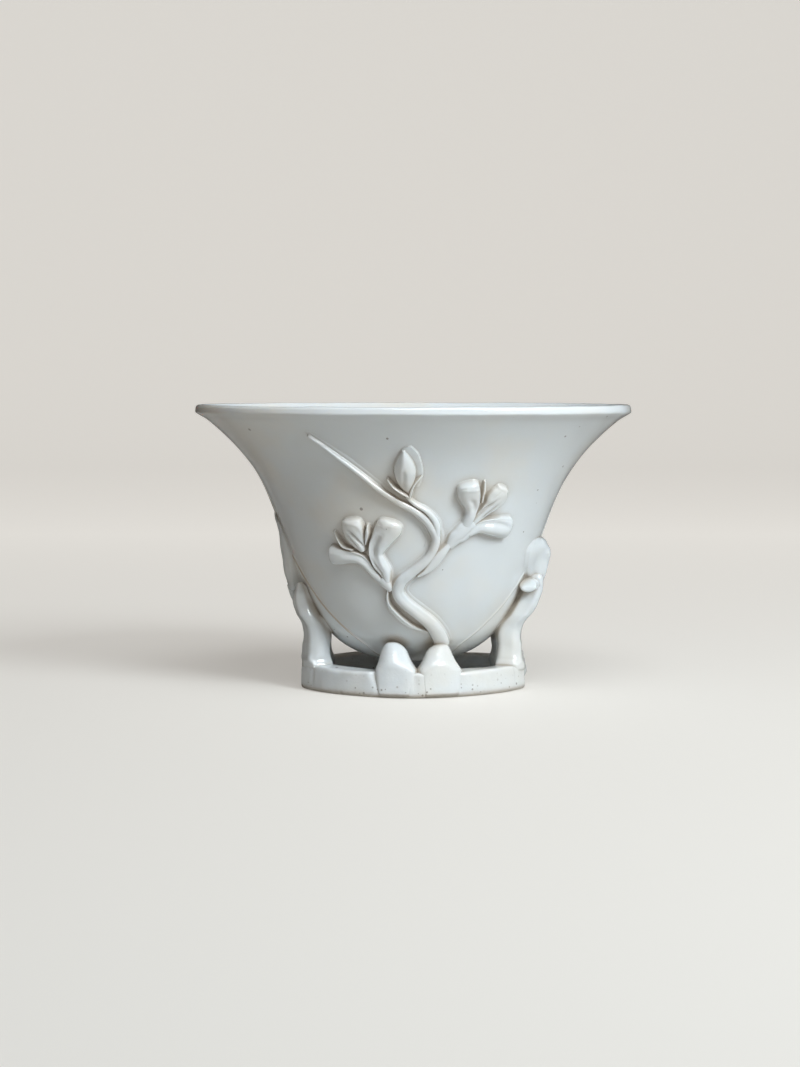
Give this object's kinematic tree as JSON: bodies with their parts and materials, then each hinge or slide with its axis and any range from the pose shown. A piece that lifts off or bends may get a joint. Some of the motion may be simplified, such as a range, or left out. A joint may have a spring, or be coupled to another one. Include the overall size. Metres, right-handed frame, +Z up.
{
  "type": "oval porcelain wine cup",
  "caption": "Oval porcelain cup with a wide flared lip, a magnolia spray and a plum spray in relief, on an openwork foot of rocks and trunks.",
  "frame": {"origin": "on the surface the cup stands on, under the middle of the rim", "axes": "+Z up, +X to the right when the magnolia side is seen from the front, which faces -Y"},
  "size_m": [0.118, 0.0938, 0.077],
  "materials": {
    "bowl_glaze": "thick glossy milk-white glaze over porcelain, with a few iron specks",
    "relief_glaze": "glossy milk-white glaze, thinner and brighter on the edges of the relief",
    "foot_glaze": "glossy white glaze with pits and grit, ending above an unglazed standing edge"
  },
  "bodies": {
    "root": {"bowl_front": "bowl_glaze", "bowl_back": "bowl_glaze", "foot_ring": "foot_glaze", "rock_front_left": "foot_glaze", "rock_front_right": "foot_glaze", "rock_back_left": "foot_glaze", "rock_back_right": "foot_glaze", "trunk_front_left": "relief_glaze", "trunk_front_right": "relief_glaze", "trunk_back_left": "relief_glaze", "trunk_back_right": "relief_glaze", "side_bud": "relief_glaze", "cut_stub": "relief_glaze", "magnolia_stem": "relief_glaze", "magnolia_loop_twig": "relief_glaze", "magnolia_bud_twig": "relief_glaze", "magnolia_flower_twig": "relief_glaze", "bud_heart": "relief_glaze", "bud_wrap": "relief_glaze", "bud_sepal_left": "relief_glaze", "bud_sepal_right": "relief_glaze", "left_flower_neck": "relief_glaze", "left_petal_outer": "relief_glaze", "left_sepal": "relief_glaze", "left_petal_upper": "relief_glaze", "left_petal_middle": "relief_glaze", "left_petal_curled": "relief_glaze", "right_flower_neck": "relief_glaze", "right_petal_cupped": "relief_glaze", "right_petal_middle": "relief_glaze", "right_petal_folded": "relief_glaze", "right_petal_lower": "relief_glaze", "plum_branch": "relief_glaze", "plum_twig_up": "relief_glaze", "plum_twig_down": "relief_glaze", "plum_blossom_side": "relief_glaze", "plum_blossom_low": "relief_glaze", "plum_blossom_high": "relief_glaze", "plum_buds": "relief_glaze"}
  },
  "joints": []
}
